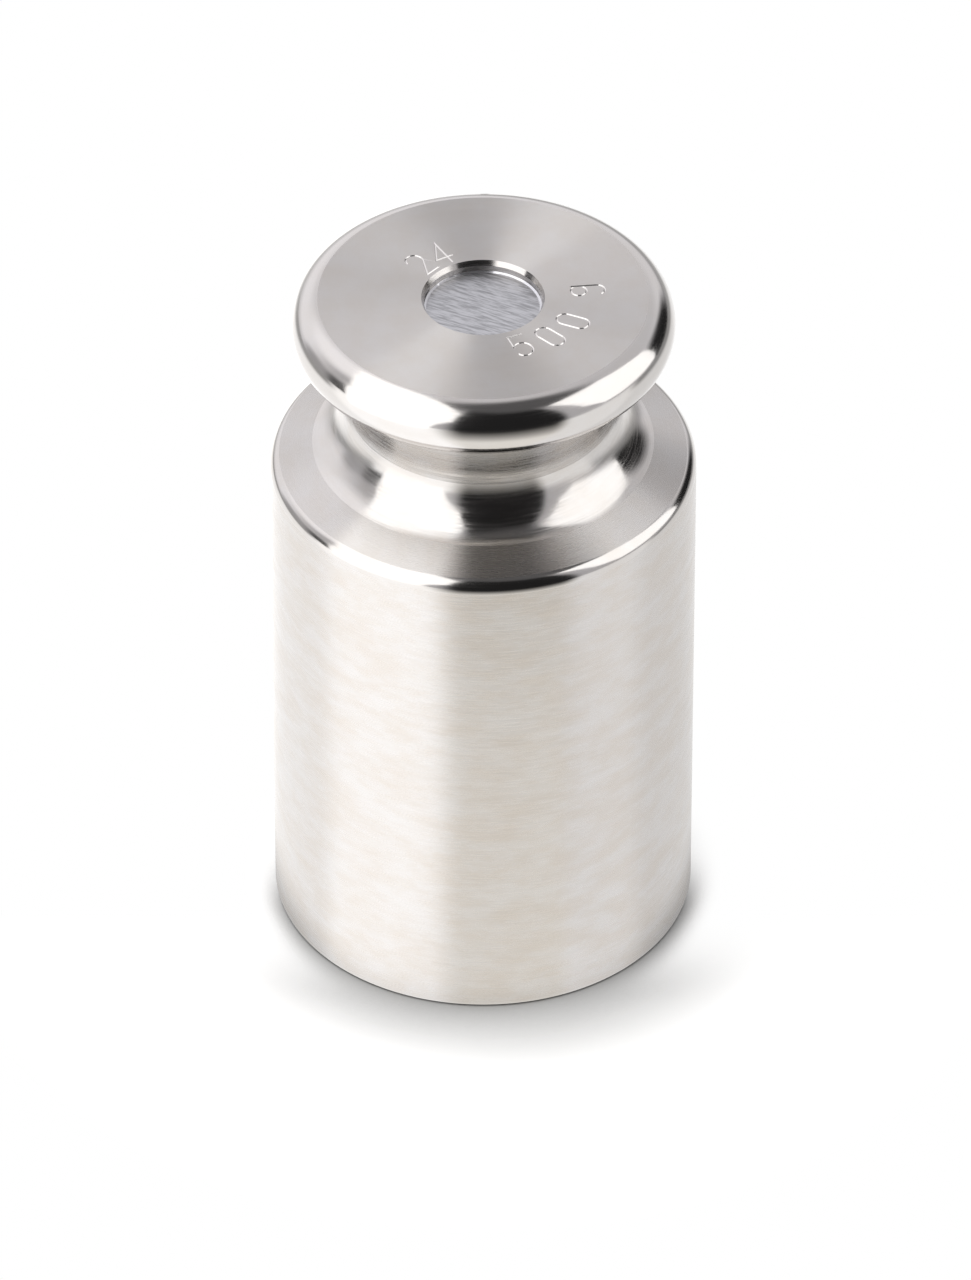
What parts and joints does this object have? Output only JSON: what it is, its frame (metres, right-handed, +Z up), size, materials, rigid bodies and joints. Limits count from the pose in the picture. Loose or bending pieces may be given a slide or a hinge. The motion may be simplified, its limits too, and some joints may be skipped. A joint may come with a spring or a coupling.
{
  "type": "calibration weight",
  "caption": "Cylindrical knob weight in turned stainless steel, with a half-round lifting knob, a hollow neck and a sealed adjusting cavity under a recessed soft metal plug.",
  "frame": {"origin": "centre of the flat base that the weight stands on", "axes": "+Z up along the turning axis, from the base to the knob; X and Y are equal, with +Y away from the usual viewer"},
  "size_m": [0.038, 0.038, 0.0662],
  "materials": {
    "turned_steel": "finely turned, with the knob's rim, the cove and the shoulder's corner polished",
    "seal_metal": "soft metal planed flat, with straight tool marks",
    "screw_brass": "turned",
    "shot_steel": "tumbled"
  },
  "bodies": {
    "root": {"weight_body": "turned_steel", "sealing_plug": "seal_metal", "closing_screw": "screw_brass", "adjusting_shot": "shot_steel"}
  },
  "joints": []
}
